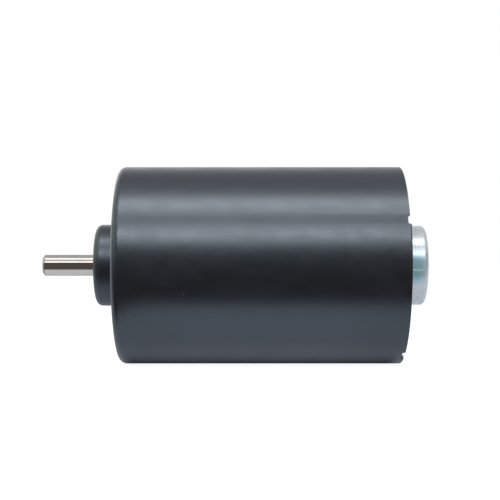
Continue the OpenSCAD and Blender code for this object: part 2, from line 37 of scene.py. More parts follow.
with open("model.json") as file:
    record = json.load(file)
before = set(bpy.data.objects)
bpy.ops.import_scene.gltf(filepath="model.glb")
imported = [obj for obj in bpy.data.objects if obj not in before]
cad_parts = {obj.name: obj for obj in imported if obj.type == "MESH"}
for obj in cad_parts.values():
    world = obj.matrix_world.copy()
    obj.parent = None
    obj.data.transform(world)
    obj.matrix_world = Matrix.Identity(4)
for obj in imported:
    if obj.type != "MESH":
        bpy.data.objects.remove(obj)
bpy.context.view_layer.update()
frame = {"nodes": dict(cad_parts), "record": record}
nodes = frame["nodes"]


# Camera: level, square to the motor's axis, as in the photograph

CAMERA_X = 28.95 * MM
CAMERA_DISTANCE = 261.7 * MM
CLIP_START = 1 * MM
CLIP_END = 100.0
SENSOR_WIDTH = 36.0
FOCAL_LENGTH = 81.94
IMAGE_WIDTH = 500
AXIS_SHIFT_LEFT_PX = 3.1
AXIS_SHIFT_DOWN_PX = 15.26


def make_camera():
    data = bpy.data.cameras.new("camera")
    data.sensor_fit = "HORIZONTAL"
    data.sensor_width = SENSOR_WIDTH
    data.lens = FOCAL_LENGTH
    data.shift_x = AXIS_SHIFT_LEFT_PX / IMAGE_WIDTH
    data.shift_y = AXIS_SHIFT_DOWN_PX / IMAGE_WIDTH
    data.clip_start = CLIP_START
    data.clip_end = CLIP_END
    camera = bpy.data.objects.new("camera", data)
    camera.location = (CAMERA_X, -CAMERA_DISTANCE, 0)
    camera.rotation_euler = (math.radians(90), 0, 0)
    bpy.context.scene.collection.objects.link(camera)
    bpy.context.scene.camera = camera


make_camera()
bpy.context.scene.view_settings.view_transform = "Standard"


# Places and sizes that the pieces below are built on, read from the frame

can_low, can_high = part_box("housing_can")
grommet_low, grommet_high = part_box("lead_grommet")
stack_low, stack_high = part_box("stator_core")

CAN_HALF_LEN = can_high.x / 2
COVER_BACK_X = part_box("rear_cover")[1].x
SHAFT_FRONT_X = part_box("shaft")[0].x
BOARD_BACK_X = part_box("hall_board")[1].x


# Node helpers

class NodeTree:
    """A tree of shader nodes. Each helper adds nodes, feeds them and hands back an output."""

    def __init__(self, tree):
        self.tree = tree

    def feed(self, socket, value):
        """Links an output to the socket, or sets the socket to a plain value."""
        if isinstance(value, bpy.types.NodeSocket):
            self.tree.links.new(value, socket)
        elif socket.type == "RGBA":
            socket.default_value = (*value, 1)
        else:
            socket.default_value = value

    def node(self, kind, inputs=None, **settings):
        """A new node with those settings, its inputs fed by name or by number."""
        node = self.tree.nodes.new(kind)
        for name, value in settings.items():
            setattr(node, name, value)
        for key, value in (inputs or {}).items():
            self.feed(node.inputs[key], value)
        return node

    def coordinates(self, space):
        return self.node("ShaderNodeTexCoord").outputs[space]

    def axes(self, vector):
        """The X, Y and Z of a vector."""
        return self.node("ShaderNodeSeparateXYZ", {"Vector": vector}).outputs

    def math(self, operation, a, b=0.0):
        return self.node("ShaderNodeMath", {0: a, 1: b}, operation=operation).outputs[0]

    def ramp(self, value, low, high, out_low=0.0, out_high=1.0, shape="LINEAR"):
        """Goes from out_low to out_high as the value goes from low to high, and stays there beyond."""
        inputs = {"Value": value, "From Min": low, "From Max": high,
                  "To Min": out_low, "To Max": out_high}
        return self.node("ShaderNodeMapRange", inputs, interpolation_type=shape).outputs["Result"]

    def smooth(self, value, low, high, out_low=0.0, out_high=1.0):
        """A ramp that starts and ends softly."""
        return self.ramp(value, low, high, out_low, out_high, shape="SMOOTHSTEP")

    def mix_color(self, share, a, b):
        """The first colour where the share is 0, the second where it is 1."""
        return self.node("ShaderNodeMix", {"Factor": share, 6: a, 7: b}, data_type="RGBA").outputs[2]

    def mix_shader(self, share, a, b):
        """The first shader where the share is 0, the second where it is 1."""
        return self.node("ShaderNodeMixShader", {"Fac": share, 1: a, 2: b}).outputs[0]


# Noise mostly keeps between these two values. Ramps over a narrower range part it into patches
NOISE_RANGE = (0.3, 0.7)
PATCH_RANGE = (0.35, 0.7)
BLOT_RANGE = (0.35, 0.65)
NOISE_ROUGHNESS = 0.55
SPECK_CORE = 0.6


class Material(NodeTree):
    """A principled material with helpers for the procedural detail that feeds it."""

    def __init__(self, name, color, roughness, metallic=0.0, specular=0.5):
        self.material = bpy.data.materials.new(name)
        self.material.use_nodes = True
        super().__init__(self.material.node_tree)
        self.shader = self.tree.nodes["Principled BSDF"]
        self.surface({"Base Color": color, "Roughness": roughness, "Metallic": metallic,
                      "Specular IOR Level": specular})
        self.place = self.coordinates("Object")
        self.x, self.y, self.z = self.axes(self.place)

    def surface(self, inputs):
        for name, value in inputs.items():
            self.feed(self.shader.inputs[name], value)

    def scaled_place(self, sizes):
        """The place on the piece, counted in those sizes along X, Y and Z."""
        scale = [1 / size for size in sizes]
        return self.node("ShaderNodeMapping", {"Vector": self.place, "Scale": scale}).outputs["Vector"]

    def noise(self, size, detail=3.0, stretch=1.0):
        """Soft noise whose blots are about size metres across, drawn out along X by stretch."""
        place = self.scaled_place([size * stretch, size, size])
        inputs = {"Vector": place, "Scale": 1.0, "Detail": detail, "Roughness": NOISE_ROUGHNESS}
        return self.node("ShaderNodeTexNoise", inputs).outputs["Fac"]

    def axis_radius(self):
        """The distance from the motor's axis."""
        squares = self.math("ADD", self.math("POWER", self.y, 2.0), self.math("POWER", self.z, 2.0))
        return self.math("SQRT", squares)

    def end_on(self):
        """1 on faces square to the motor's axis, 0 on walls along it."""
        return self.math("ABSOLUTE", self.axes(self.coordinates("Normal"))["X"])

    def turning_lines(self, pitch, detail=4.0):
        """Rings round the motor's axis, on cylinders and on end faces alike, about pitch apart."""
        walk = self.math("ADD", self.x, self.axis_radius())
        inputs = {"W": walk, "Scale": 1 / pitch, "Detail": detail}
        return self.node("ShaderNodeTexNoise", inputs, noise_dimensions="1D").outputs["Fac"]

    def specks(self, spacing, size):
        """Sparse round specks: 1 inside, 0 outside. The size is a share of the spacing."""
        inputs = {"Vector": self.scaled_place([spacing] * 3), "Scale": 1.0}
        distance = self.node("ShaderNodeTexVoronoi", inputs).outputs["Distance"]
        return self.ramp(distance, size, size * SPECK_CORE)

    def spot(self, center, outer, inner):
        """A soft round spot about a point: 1 within the inner distance of it, 0 beyond the outer."""
        inputs = {0: self.place, 1: center}
        distance = self.node("ShaderNodeVectorMath", inputs, operation="DISTANCE").outputs["Value"]
        return self.ramp(distance, outer, inner)

    def spread(self, noise, low, high):
        """Values between low and high that follow the noise."""
        return self.ramp(noise, *NOISE_RANGE, low, high)

    def bump(self, height, distance, strength=1.0, under=None):
        inputs = {"Strength": strength, "Distance": distance, "Height": height}
        if under is not None:
            inputs["Normal"] = under
        return self.node("ShaderNodeBump", inputs).outputs["Normal"]


# Materials. Each one's plain colour and roughness come first, and its detail follows

BLACK_DEEP = (0.0020, 0.0040, 0.0085)
BLACK_PALE = (0.0033, 0.0058, 0.0115)
BLACK_TINT = (0.80, 0.88, 0.96)
BLACK_IOR = 1.6
DUST = (0.10, 0.10, 0.10)
BOSS_RINGS_FADE = (-0.4 * MM, -0.1 * MM)


def satin_black():
    """Satin black coating on drawn steel: faint mottling, a fine grain and a few dust specks.

    The boss, which lies in front of the mounting face at x 0, also shows turning lines.
    """
    m = Material("can_black", (0.005, 0.006, 0.008), 0.36, specular=0.9)
    mottle = m.noise(2.6 * MM, detail=5, stretch=1.6)
    grain = m.noise(0.35 * MM, detail=2)
    on_boss = m.ramp(m.x, *BOSS_RINGS_FADE, 1.0, 0.12)
    boss_rings = m.math("MULTIPLY", m.turning_lines(0.35 * MM, detail=2), on_boss)
    satin = m.math("ADD", m.spread(mottle, 0.31, 0.38), m.spread(grain, -0.02, 0.03))
    black = m.mix_color(m.ramp(mottle, *BLOT_RANGE), BLACK_DEEP, BLACK_PALE)
    uneven = m.bump(grain, 0.003 * MM, under=m.bump(mottle, 0.012 * MM))
    m.surface({
        "IOR": BLACK_IOR,
        "Specular Tint": BLACK_TINT,
        "Base Color": m.mix_color(m.specks(6 * MM, 0.025), black, DUST),
        "Roughness": m.math("ADD", satin, m.ramp(boss_rings, *BLOT_RANGE, 0.0, 0.09)),
        "Normal": m.bump(boss_rings, 0.03 * MM, under=uneven),
    })
    return m.material


STEEL_BRIGHT = (0.69, 0.655, 0.61)
STEEL_SMUDGED = (0.61, 0.57, 0.52)
# Partly the real finish of turning, partly painted: darker than that finish alone, as a painted dark
# reflection at the shaft's end
STEEL_TURNED_AND_PAINTED_DARK = (0.30, 0.285, 0.27)
TURNED_ROUGHNESS = 0.14
TURNED_FADE = (SHAFT_FRONT_X + 0.6 * MM, SHAFT_FRONT_X + 0.5 * MM)


def ground_shaft():
    """Ground steel. Its chamfer and end face are rougher from turning, and their colour is painted darker: a
    painted dark reflection that outlines the shaft's end.
    """
    m = Material("shaft_steel", STEEL_BRIGHT, 0.12, metallic=1.0)
    rings = m.turning_lines(0.1 * MM)
    smudge = m.noise(4 * MM)
    # The chamfer and end face: rougher, and painted darker as a dark reflection
    turned_and_dark = m.ramp(m.x, *TURNED_FADE)
    ground = m.math("ADD", m.spread(rings, 0.07, 0.08), m.ramp(smudge, 0.4, 0.7, 0, 0.03))
    steel = m.mix_color(m.ramp(smudge, *PATCH_RANGE), STEEL_BRIGHT, STEEL_SMUDGED)
    m.surface({
        "Base Color": m.mix_color(turned_and_dark, steel, STEEL_TURNED_AND_PAINTED_DARK),
        "Roughness": m.math("ADD", ground, m.math("MULTIPLY", turned_and_dark, TURNED_ROUGHNESS)),
        "Normal": m.bump(rings, 0.0001 * MM),
    })
    return m.material


ZINC_BLUISH = (0.60, 0.67, 0.70)
ZINC_WARM = (0.69, 0.69, 0.71)
ZINC_PINK = (0.74, 0.67, 0.71)
# The stain sits on the boss's wall, on the camera's side, and fades before the boss's rim
STAIN_COLOR = (0.31, 0.56, 0.64)
STAIN_CENTER = (COVER_BACK_X - 2.8 * MM, -9.1 * MM, -0.6 * MM)
STAIN_OUTER_R = 4.4 * MM
STAIN_INNER_R = 2.4 * MM
STAIN_RIM_FADE = (COVER_BACK_X - 0.9 * MM, COVER_BACK_X - 2.1 * MM)
# A painted reflection: a pale cyan line along the boss's wall, a little below the axis, shown within the
# stain
PAINTED_REFLECTION_LINE_COLOR = (0.62, 0.98, 1.0)
REFLECTION_LINE_DROP = 1.05 * MM
REFLECTION_LINE_FADE = (0.24 * MM, 0.10 * MM)


def zinc_plate():
    """Bright zinc plating: drawing lines, the faint tints of its passivation, one blue-green stain, and a
    painted reflection: a pale cyan line across the stain.
    """
    m = Material("zinc_plate", (0.66, 0.69, 0.72), 0.28, metallic=0.42)
    cloud = m.noise(3 * MM, detail=1)
    pale = m.mix_color(m.ramp(m.noise(9 * MM, detail=2), *NOISE_RANGE), ZINC_BLUISH, ZINC_WARM)
    pink = m.mix_color(m.ramp(cloud, 0.5, 0.8, 0, 0.2), pale, ZINC_PINK)
    spot = m.math("MULTIPLY", m.spot(STAIN_CENTER, STAIN_OUTER_R, STAIN_INNER_R),
                  m.ramp(m.x, *STAIN_RIM_FADE, 0.2, 1.0))
    stain = m.math("MULTIPLY", spot, m.ramp(m.noise(1.2 * MM), 0.25, 0.6, 0.6, 1.0))
    # The pale cyan line is a painted reflection, shown only where the stain is
    off_line = m.math("ABSOLUTE", m.math("ADD", m.z, REFLECTION_LINE_DROP))
    line = m.math("MULTIPLY", stain, m.ramp(off_line, *REFLECTION_LINE_FADE))
    on_walls = m.ramp(m.end_on(), 0.9, 0.3, 0.6, 1.0)
    drawn = m.math("MULTIPLY", m.turning_lines(0.5 * MM, detail=1.5), on_walls)
    grain = m.noise(0.3 * MM, detail=2)
    m.surface({
        "Base Color": m.mix_color(line, m.mix_color(stain, pink, STAIN_COLOR), PAINTED_REFLECTION_LINE_COLOR),
        "Roughness": m.math("ADD", m.spread(cloud, 0.25, 0.30), m.ramp(drawn, 0.0, 0.7, -0.02, 0.03)),
        "Normal": m.bump(drawn, 0.002 * MM, under=m.bump(grain, 0.0008 * MM)),
    })
    return m.material


METAL_STAIN_DARKENS = 0.82
METAL_STAIN_DULLS = 0.08


def plain_metal(name, color, roughness, line_pitch, depth):
    """Turned or drawn metal, darker and duller in patches."""
    m = Material(name, color, roughness, metallic=1.0)
    rings = m.turning_lines(line_pitch)
    stain = m.noise(3 * MM)
    dark = tuple(c * METAL_STAIN_DARKENS for c in color)
    dull = m.spread(stain, roughness, roughness + METAL_STAIN_DULLS)
    m.surface({
        "Base Color": m.mix_color(m.ramp(stain, *PATCH_RANGE), color, dark),
        "Roughness": m.math("ADD", m.spread(rings, -0.04, 0.05), dull),
        "Normal": m.bump(rings, depth),
    })
    return m.material


SHEET_THICKNESS = 0.5 * MM
SHEET_STEEL = (0.29, 0.30, 0.32)
SHEET_OXIDE = (0.20, 0.18, 0.17)
SHEET_SEAM = (0.06, 0.06, 0.06)


def sheet_stack():
    """Stamped steel sheets, seen as fine lines across the stack, with a brown oxide stain."""
    m = Material("lamination_steel", (0.28, 0.29, 0.31), 0.45, metallic=1.0)
    seams = m.math("SINE", m.math("MULTIPLY", m.x, 2 * math.pi / SHEET_THICKNESS))
    stain = m.noise(2.5 * MM)
    steel = m.mix_color(m.ramp(stain, *PATCH_RANGE), SHEET_STEEL, SHEET_OXIDE)
    m.surface({
        "Base Color": m.mix_color(m.ramp(seams, 0.7, 1.0, 0, 0.7), steel, SHEET_SEAM),
        "Roughness": m.spread(stain, 0.38, 0.52),
        "Normal": m.bump(seams, 0.03 * MM, strength=0.6),
    })
    return m.material


COPPER_PALE = (0.60, 0.22, 0.07)
COPPER_DARK = (0.42, 0.13, 0.04)


def enamelled_wire():
    """Copper wire under clear enamel, a little darker and redder in patches."""
    m = Material("copper_wire", (0.56, 0.20, 0.06), 0.25, metallic=1.0)
    patch = m.noise(1.6 * MM)
    m.surface({
        "Coat Weight": 0.6,
        "Coat Roughness": 0.12,
        "Base Color": m.mix_color(m.ramp(patch, *PATCH_RANGE), COPPER_PALE, COPPER_DARK),
        "Roughness": m.spread(patch, 0.20, 0.32),
        "Normal": m.bump(m.noise(0.2 * MM), 0.004 * MM),
    })
    return m.material


BLOT_GRAINS = 12
BLOT_PALER = 1.15
BLOT_PALER_LEAST = 0.002


def moulded(name, color, roughness, grain_size, depth):
    """Moulded plastic or rubber: a fine grain, and blots a little paler, each many grains across."""
    m = Material(name, color, roughness)
    grain = m.noise(grain_size)
    blot = m.noise(grain_size * BLOT_GRAINS)
    pale = tuple(min(c * BLOT_PALER + BLOT_PALER_LEAST, 1.0) for c in color)
    m.surface({
        "Base Color": m.mix_color(m.ramp(blot, *BLOT_RANGE), color, pale),
        "Roughness": m.spread(grain, roughness - 0.05, roughness + 0.08),
        "Normal": m.bump(grain, depth),
    })
    return m.material


# By slot: colour, roughness, and the pitch and depth of the turning lines
PLAIN_METALS = {
    "bearing_steel": ((0.60, 0.61, 0.62), 0.18, 0.2 * MM, 0.0015 * MM),
    "cage_brass": ((0.62, 0.47, 0.20), 0.3, 0.4 * MM, 0.002 * MM),
    "ball_steel": ((0.75, 0.76, 0.78), 0.08, 0.5 * MM, 0.0005 * MM),
    "spring_steel": ((0.32, 0.33, 0.35), 0.35, 0.3 * MM, 0.003 * MM),
    "terminal_tin": ((0.66, 0.60, 0.42), 0.25, 0.4 * MM, 0.002 * MM),
    "brass_ring": ((0.56, 0.40, 0.14), 0.28, 0.25 * MM, 0.004 * MM),
    "magnet_dark": ((0.09, 0.095, 0.10), 0.4, 0.6 * MM, 0.004 * MM),
}
# By slot: colour, roughness, and the size and depth of the grain
MOULDED = {
    "insulator_plastic": ((0.78, 0.74, 0.64), 0.5, 0.3 * MM, 0.006 * MM),
    "board_green": ((0.03, 0.15, 0.06), 0.35, 0.25 * MM, 0.004 * MM),
    "sensor_black": ((0.02, 0.02, 0.02), 0.45, 0.15 * MM, 0.003 * MM),
    "rubber_black": ((0.012, 0.012, 0.013), 0.62, 0.25 * MM, 0.008 * MM),
}

materials = {
    "can_black": satin_black(),
    "shaft_steel": ground_shaft(),
    "zinc_plate": zinc_plate(),
    "lamination_steel": sheet_stack(),
    "copper_wire": enamelled_wire(),
}
for slot, look in PLAIN_METALS.items():
    materials[slot] = plain_metal(slot, *look)
for slot, look in MOULDED.items():
    materials[slot] = moulded(slot, *look)

for part in frame["record"]["subparts"]:
    obj = nodes[part["node"]]
    obj.data.materials.clear()
    obj.data.materials.append(materials[part["material_slot"]])


# Mesh helpers

def around_axis(x, radius, angle, center_y=0.0, center_z=0.0):
    """A point at that angle, in radians from +Y towards +Z, round a line parallel to the motor's axis."""
    return Vector((x, center_y + radius * math.cos(angle), center_z + radius * math.sin(angle)))


def link_object(name, mesh):
    obj = bpy.data.objects.new(name, mesh)
    bpy.context.scene.collection.objects.link(obj)
    return obj


def mesh_piece(name, vertices, faces, slot_name, body, replaced=()):
    mesh = bpy.data.meshes.new(name)
    mesh.from_pydata([tuple(v) for v in vertices], [], faces)
    shape = bmesh.new()
    shape.from_mesh(mesh)
    bmesh.ops.recalc_face_normals(shape, faces=shape.faces)
    shape.to_mesh(mesh)
    shape.free()
    mesh.materials.append(materials[slot_name])
    mesh.shade_smooth()
    obj = link_object(name, mesh)
    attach(obj, body)
    if replaced:
        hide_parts(*replaced)


def loop_grid(rings, closed=True):
    """Faces between closed rings of equal length. The last ring joins the first if the row is closed."""
    count = len(rings[0])
    vertices = [v for ring in rings for v in ring]
    faces = []
    for i in range(len(rings) if closed else len(rings) - 1):
        a = i * count
        b = (i + 1) % len(rings) * count
        for j in range(count):
            k = (j + 1) % count
            faces.append((a + j, a + k, b + k, b + j))
    return vertices, faces


def revolved(profile, center_y, center_z, segments):
    """Rings made by turning a closed profile of (x, radius) points about a line parallel to the axis."""
    rings = []
    for i in range(segments):
        angle = 2 * math.pi * i / segments
        rings.append([around_axis(x, r, angle, center_y, center_z) for x, r in profile])
    return loop_grid(rings)


ROUND_STEPS = 5


def rounded(corners):
    """A closed outline of (x, r, rounding) corners, each rounded by its own radius."""
    points = []
    count = len(corners)
    for i, (x, r, rounding) in enumerate(corners):
        here = Vector((x, r))
        before = Vector(corners[i - 1][:2]) - here
        after = Vector(corners[(i + 1) % count][:2]) - here
        start = here + before.normalized() * rounding
        end = here + after.normalized() * rounding
        for step in range(ROUND_STEPS + 1):
            t = step / ROUND_STEPS
            points.append(tuple(start * (1 - t) ** 2 + here * (2 * t * (1 - t)) + end * t ** 2))
    return points


def joined(parts):
    """One list of vertices and one of faces from several pairs of them."""
    vertices = []
    faces = []
    for part_vertices, part_faces in parts:
        offset = len(vertices)
        vertices += part_vertices
        faces += [tuple(i + offset for i in face) for face in part_faces]
    return vertices, faces


# The tapped holes: a thread in each collar, and a bright ring where the tap broke the coating

HOLE_CIRCLE_R = 14.5 * MM
HOLE_R = 1.65 * MM
HOLE_ANGLES = [math.radians(45 + 90 * i) for i in range(4)]
COLLAR_DEPTH = 3 * MM
THREAD_PITCH = 0.7 * MM
THREAD_START = THREAD_PITCH * 0.6
THREAD_TURNS = (COLLAR_DEPTH - 2 * THREAD_START) / THREAD_PITCH
THREAD_HALF_WIDTH = THREAD_PITCH * 0.42
THREAD_HEIGHT = 0.16 * MM
THREAD_SINK = 0.03 * MM
STEPS_PER_TURN = 28
THREAD_FADE_STEPS = 6
# The ring's section in mm: how far each point lies behind the face and outside the hole's radius
EDGE_SECTION = [(-0.01, 0.13), (0.02, 0.16), (0.06, 0.01), (0.05, -0.02), (-0.005, 0.05)]
EDGE_SEGMENTS = 40


def thread_ridge(center_y, center_z):
    """A helical ridge of triangular section on the wall of a hole."""
    steps = round(THREAD_TURNS * STEPS_PER_TURN)
    foot_r = HOLE_R + THREAD_SINK
    rings = []
    for i in range(steps + 1):
        angle = 2 * math.pi * i / STEPS_PER_TURN
        x = THREAD_START + THREAD_PITCH * i / STEPS_PER_TURN
        fade = min(1, i / THREAD_FADE_STEPS, (steps - i) / THREAD_FADE_STEPS)
        section = [(x - THREAD_HALF_WIDTH, foot_r), (x, HOLE_R - THREAD_HEIGHT * fade),
                   (x + THREAD_HALF_WIDTH, foot_r)]
        rings.append([around_axis(px, pr, angle, center_y, center_z) for px, pr in section])
    return loop_grid(rings, closed=False)


def hole_ring(center_y, center_z):
    profile = [(behind * MM, HOLE_R + outside * MM) for behind, outside in EDGE_SECTION]
    return revolved(profile, center_y, center_z, EDGE_SEGMENTS)


hole_centers = [(HOLE_CIRCLE_R * math.cos(a), HOLE_CIRCLE_R * math.sin(a)) for a in HOLE_ANGLES]
mesh_piece("mount_threads", *joined([thread_ridge(*c) for c in hole_centers]), "spring_steel", "housing")
mesh_piece("mount_hole_edges", *joined([hole_ring(*c) for c in hole_centers]), "spring_steel", "housing")


# The lead grommet, with moulded lips and sealing ribs in its bore

FLANGE_THICKNESS = 0.9 * MM
FLANGE_WIDTH = 0.7 * MM
GROMMET_WALL = 0.9 * MM
LIP_ROUNDING = 0.35 * MM
EDGE_ROUNDING = 0.12 * MM
WAIST_ROUNDING = 0.05 * MM
MOUTH_FLARE = 0.25 * MM
RIB_COUNT = 3
RIB_HEIGHT = 0.14 * MM
RIB_ROUNDING = 0.06 * MM
RIB_HALF_WIDTH_SHARE = 0.34
GROMMET_SEGMENTS = 64


def make_grommet():
    center_y = (grommet_low.y + grommet_high.y) / 2
    inner_x, outer_x = grommet_low.x, grommet_high.x
    flange_r = (grommet_high.z - grommet_low.z) / 2
    waist_r = flange_r - FLANGE_WIDTH
    bore_r = waist_r - GROMMET_WALL
    corners = [
        (inner_x, bore_r + MOUTH_FLARE, EDGE_ROUNDING),
        (inner_x, flange_r, LIP_ROUNDING),
        (inner_x + FLANGE_THICKNESS, flange_r, EDGE_ROUNDING),
        (inner_x + FLANGE_THICKNESS, waist_r, WAIST_ROUNDING),
        (outer_x - FLANGE_THICKNESS, waist_r, WAIST_ROUNDING),
        (outer_x - FLANGE_THICKNESS, flange_r, EDGE_ROUNDING),
        (outer_x, flange_r, LIP_ROUNDING),
        (outer_x, bore_r + MOUTH_FLARE, EDGE_ROUNDING),
    ]
    rib_pitch = (outer_x - inner_x) / (RIB_COUNT + 1)
    half_width = rib_pitch * RIB_HALF_WIDTH_SHARE
    for i in range(RIB_COUNT, 0, -1):
        middle = inner_x + rib_pitch * i
        corners.append((middle + half_width, bore_r + RIB_HEIGHT, RIB_ROUNDING))
        corners.append((middle, bore_r, RIB_ROUNDING))
        corners.append((middle - half_width, bore_r + RIB_HEIGHT, RIB_ROUNDING))
    vertices, faces = revolved(rounded(corners), center_y, 0.0, GROMMET_SEGMENTS)
    mesh_piece("lead_grommet_moulded", vertices, faces, "rubber_black", "housing", ("lead_grommet",))


make_grommet()


# The windings, as layers of separate wire turns round each tooth

TOOTH_COUNT = 9
PHASES = ("u", "v", "w")
WIRE_R = 0.27 * MM
WIRE_SIDES = 6
COIL_IN_R = 13.6 * MM
COIL_OUT_R = 17.35 * MM
COIL_WALL = 2.2 * MM
COIL_LAYERS = round(COIL_WALL / (2 * WIRE_R))
COIL_ROWS = int((COIL_OUT_R - COIL_IN_R) / (2 * WIRE_R))
COIL_HOLE_HALF_W = 2.42 * MM
COIL_HOLE_END_GAP = 1.12 * MM
COIL_HOLE_HALF_LEN = (stack_high.x - stack_low.x) / 2 + COIL_HOLE_END_GAP
STACK_MIDDLE = (stack_low.x + stack_high.x) / 2
TURN_CORNER_STEPS = 4


def turn_path(layer):
    """The rounded rectangle that one turn of that layer follows: (across, along) points."""
    grow = WIRE_R * (2 * layer + 1)
    corner = WIRE_R + grow
    straight_w = COIL_HOLE_HALF_W + grow - corner
    straight_len = COIL_HOLE_HALF_LEN + grow - corner
    points = []
    for side_w, side_len, start in ((1, 1, 0), (-1, 1, 90), (-1, -1, 180), (1, -1, 270)):
        for step in range(TURN_CORNER_STEPS + 1):
            angle = math.radians(start + 90 * step / TURN_CORNER_STEPS)
            points.append((side_w * straight_w + corner * math.cos(angle),
                           side_len * straight_len + corner * math.sin(angle)))
    return points


def wire_turn(tooth_angle, layer, out_r):
    """One turn of wire round a tooth, at that distance from the motor's axis."""
    radial = Vector((0, math.cos(tooth_angle), math.sin(tooth_angle)))
    across = Vector((0, -math.sin(tooth_angle), math.cos(tooth_angle)))
    along = Vector((1, 0, 0))
    origin = Vector((STACK_MIDDLE, 0, 0)) + radial * out_r
    places = [origin + across * w + along * h for w, h in turn_path(layer)]
    rings = []
    for i, place in enumerate(places):
        ahead = (places[(i + 1) % len(places)] - places[i - 1]).normalized()
        side = ahead.cross(radial).normalized()
        rings.append([place + (radial * math.cos(a) + side * math.sin(a)) * WIRE_R
                      for a in (2 * math.pi * k / WIRE_SIDES for k in range(WIRE_SIDES))])
    return loop_grid(rings)


def make_winding(phase, first_tooth):
    """The coils of one phase. Only the turns that lie on a coil's outside are made."""
    turns = []
    for tooth in range(first_tooth, TOOTH_COUNT, len(PHASES)):
        tooth_angle = 2 * math.pi * tooth / TOOTH_COUNT
        for layer in range(COIL_LAYERS):
            for row in range(COIL_ROWS):
                if layer == COIL_LAYERS - 1 or row in (0, COIL_ROWS - 1):
                    turns.append(wire_turn(tooth_angle, layer, COIL_IN_R + WIRE_R * (2 * row + 1)))
    name = "winding_" + phase
    mesh_piece(name + "_turns", *joined(turns), "copper_wire", "housing", (name,))


for index, phase in enumerate(PHASES):
    make_winding(phase, index)


# What is soldered to the rear face of the sensor board

TERMINAL_CIRCLE_R = 19.1 * MM
TERMINAL_ANGLES = (-40, 0, 40)
# The solder's section in mm: how far each point lies behind the board and from the terminal's middle
SOLDER_SECTION = [(-0.02, 0.48), (-0.02, 1.25), (0.06, 1.22), (0.2, 0.88),
                  (0.45, 0.66), (0.85, 0.55), (0.9, 0.48)]
SOLDER_SEGMENTS = 24
PART_CIRCLE_R = 14.6 * MM
PART_BEVEL = 0.1 * MM
BEVEL_SEGMENTS = 2
BEVEL_PROFILE = 0.6
# Sizes are height, length and width
CHIP_SIZE = (0.75 * MM, 3.0 * MM, 1.7 * MM)
CHIP_ANGLES = (95, 265)
CAPACITOR_SIZE = (0.7 * MM, 2.0 * MM, 1.25 * MM)
CAPACITOR_ANGLES = (70, 120, 215, 240, 290, 312)
CAP_LENGTH = 0.4 * MM
CAP_BEVEL = 0.06 * MM
CAP_OVERSIZE = 1.06
CAP_REACH_SHARE = 0.1


def solder_cone(angle):
    """A fillet of solder that climbs a terminal from the board's face."""
    center = around_axis(BOARD_BACK_X, TERMINAL_CIRCLE_R, angle)
    profile = [(BOARD_BACK_X + x * MM, r * MM) for x, r in SOLDER_SECTION]
    return revolved(profile, center.y, center.z, SOLDER_SEGMENTS)


def block(angle, size, bevel, shift=0.0):
    """A bevelled block that lies flat on the board, its length along the tangent at that angle."""
    height, length, width = size
    shape = bmesh.new()
    bmesh.ops.create_cube(shape, size=1)
    bmesh.ops.scale(shape, vec=(height, length, width), verts=shape.verts)
    bmesh.ops.bevel(shape, geom=shape.edges[:], offset=bevel, affect="EDGES",
                    segments=BEVEL_SEGMENTS, profile=BEVEL_PROFILE)
    turn = Matrix.Rotation(angle + math.pi / 2, 3, "X")
    place = around_axis(BOARD_BACK_X + height / 2, PART_CIRCLE_R, angle)
    shape.verts.index_update()
    vertices = [place + turn @ (v.co + Vector((0, shift, 0))) for v in shape.verts]
    faces = [tuple(v.index for v in face.verts) for face in shape.faces]
    shape.free()
    return vertices, faces


def end_caps(angle, size):
    """The tinned ends of a small part, just outside its body."""
    height, length, width = size
    cap = (height * CAP_OVERSIZE, CAP_LENGTH, width * CAP_OVERSIZE)
    reach = (length - CAP_LENGTH) / 2 + CAP_LENGTH * CAP_REACH_SHARE
    return [block(angle, cap, CAP_BEVEL, side * reach) for side in (-1, 1)]


def dress_board():
    solder = [solder_cone(math.radians(a)) for a in TERMINAL_ANGLES]
    parts = [(math.radians(a), CHIP_SIZE) for a in CHIP_ANGLES]
    parts += [(math.radians(a), CAPACITOR_SIZE) for a in CAPACITOR_ANGLES]
    bodies = [block(angle, size, PART_BEVEL) for angle, size in parts]
    caps = [cap for angle, size in parts for cap in end_caps(angle, size)]
    mesh_piece("board_solder", *joined(solder), "terminal_tin", "housing")
    mesh_piece("board_chips", *joined(bodies), "sensor_black", "housing")
    mesh_piece("board_chip_ends", *joined(caps), "terminal_tin", "housing")


dress_board()


# Studio: a white floor that the motor lies on, and surroundings that its metal mirrors

# The front of the studio, in the floor that mirrors see and in the surroundings alike
DARK_FRONT = (0.105, 0.088, 0.080)

FLOOR_SIZE = 12.0
FLOOR_GREY = (0.97, 0.97, 0.97)
FLOOR_GLOW = 1.32
FLOOR_GLOW_SHARE = 0.7
# The floor that mirrors see, which is a little darker past both ends of the can
FLOOR_MIRRORED = (0.88, 0.93, 1.03)
FLOOR_MIRRORED_GLOW_SHARE = 0.62
FLOOR_MIRRORED_ENDS = (0.71, 0.75, 0.83)
ENDS_FADE = (CAN_HALF_LEN - 18 * MM, CAN_HALF_LEN + 6 * MM)
# It turns dark towards the front, nearer to the axis beside the shaft than under the can
FLOOR_DARK_WIDTH = 10 * MM
FLOOR_DARK_BESIDE_SHAFT = -17 * MM
FLOOR_DARK_UNDER_CAN = -30 * MM
SHAFT_SIDE_FADE = (can_low.x - CAN_HALF_LEN, -CAN_HALF_LEN + 4 * MM)
# Close to the line where the can touches it, hardly any light reaches the floor, so the glow that mirrors see
# is painted darker there: a painted shadow
CONTACT_PAINTED_SHADOW = (0.03, 0.03, 0.035)
CONTACT_FADE = (12 * MM, 1.5 * MM)
CONTACT_END_FADE = (CAN_HALF_LEN, CAN_HALF_LEN - 3 * MM)


